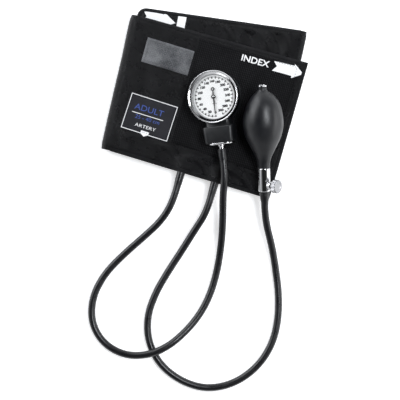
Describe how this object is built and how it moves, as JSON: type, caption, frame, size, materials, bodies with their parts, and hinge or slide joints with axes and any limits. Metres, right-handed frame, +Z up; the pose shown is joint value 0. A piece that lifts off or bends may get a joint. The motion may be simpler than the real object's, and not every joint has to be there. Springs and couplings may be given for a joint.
{
  "type": "upper arm blood pressure monitor",
  "caption": "Aneroid upper arm blood pressure monitor laid out flat: folded nylon cuff, round dial gauge, squeeze bulb with a release valve, and looping rubber hoses.",
  "frame": {"origin": "middle of the folded cuff's underside, on the surface it lies on", "axes": "+X along the folded cuff towards its open end, +Y across the cuff away from the hoses, +Z up"},
  "size_m": [0.2388, 0.3911, 0.0601],
  "materials": {
    "nylon": "woven nylon, coated",
    "loop_pile": "brushed loop pile",
    "hook_tape": "moulded hooks",
    "woven_label": "printed satin",
    "grey_tape": "woven tape",
    "binding_tape": "grosgrain",
    "black_rubber": "moulded, satin",
    "hose_rubber": "extruded, satin",
    "bladder_rubber": "matt",
    "seal_rubber": "matt",
    "case_paint": "satin black",
    "spacer_paint": "satin grey",
    "dial_paint": "matt white",
    "pointer_paint": "matt black",
    "chrome": "polished",
    "steel": "ground",
    "brass": "stamped",
    "clear_lens": "clear"
  },
  "bodies": {
    "monitor": {"back_clip": "steel", "bezel": "chrome", "bladder": "bladder_rubber", "bulb": "black_rubber", "bulb_hose": "hose_rubber", "bulb_hose_ends": "hose_rubber", "capsule": "brass", "capsule_stem": "brass", "clip_rivets": "steel", "cuff_cover": "nylon", "dial": "dial_paint", "drum_base": "chrome", "drum_housing": "case_paint", "edge_binding": "binding_tape", "end_valve_body": "chrome", "end_valve_screen": "steel", "gauge_barb": "chrome", "gauge_case": "case_paint", "gauge_hose": "hose_rubber", "gauge_hose_ends": "hose_rubber", "hairspring": "steel", "hook_panel": "hook_tape", "lens": "clear_lens", "lens_gasket": "seal_rubber", "loop_panel": "loop_pile", "movement_front_plate": "brass", "movement_pillars": "brass", "movement_rear_plate": "brass", "movement_screws": "steel", "packing_nut": "chrome", "poppet_spring": "steel", "size_label": "woven_label", "spacer_ring": "spacer_paint", "tape_patch": "grey_tape", "valve_body": "chrome"},
    "pointer": {"pointer": "pointer_paint", "pinion_arbor": "steel"},
    "sector": {"sector_gear": "brass", "sector_arbor": "steel"},
    "push_rod": {"push_rod": "steel"},
    "release_stem": {"release_stem": "steel"},
    "release_knob": {"release_knob": "chrome"},
    "outlet_poppet": {"outlet_poppet": "seal_rubber"},
    "end_valve_disc": {"end_valve_disc": "seal_rubber"}
  },
  "joints": [
    {"name": "pointer_turn", "type": "hinge", "parent": "monitor", "child": "pointer", "pos_m": [0.0099, 0.0103, 0.039], "axis": [0.3095, 0.125, -0.9426], "range_deg": [0, 338], "stiffness_Nm_per_rad": 0.0001, "springref_deg": -17.19},
    {"name": "sector_swing", "type": "hinge", "parent": "monitor", "child": "sector", "pos_m": [0.0125, -0.00745, 0.0375], "axis": [-0.3095, -0.125, 0.9426], "range_deg": [0, 42.29]},
    {"name": "rod_slide", "type": "slide", "parent": "monitor", "child": "push_rod", "axis": [-0.3746, 0.9272, 0], "range_m": [0, 0.00347]},
    {"name": "stem_travel", "type": "slide", "parent": "monitor", "child": "release_stem", "axis": [0.7723, 0.099, 0.6276], "range_m": [0, 0.0015]},
    {"name": "knob_turn", "type": "hinge", "parent": "release_stem", "child": "release_knob", "pos_m": [0.08421, -0.06183, 0.02461], "axis": [0.7723, 0.099, 0.6276], "range_deg": [0, 721]},
    {"name": "poppet_lift", "type": "slide", "parent": "monitor", "child": "outlet_poppet", "axis": [0.2952, -0.9306, -0.2164], "range_m": [0, 0.001], "stiffness_N_per_m": 30, "springref_m": -0.0005, "deforming": ["poppet_spring"]},
    {"name": "inlet_disc_lift", "type": "slide", "parent": "monitor", "child": "end_valve_disc", "axis": [-0.2952, 0.9306, 0.2164], "range_m": [0, 0.0016]}
  ],
  "couplings": [
    {"joint": "sector_swing", "follows": "rod_slide", "rad_per_m": 212.09},
    {"joint": "pointer_turn", "follows": "rod_slide", "rad_per_m": 1696.7},
    {"joint": "knob_turn", "follows": "stem_travel", "rad_per_m": 8377.6}
  ]
}
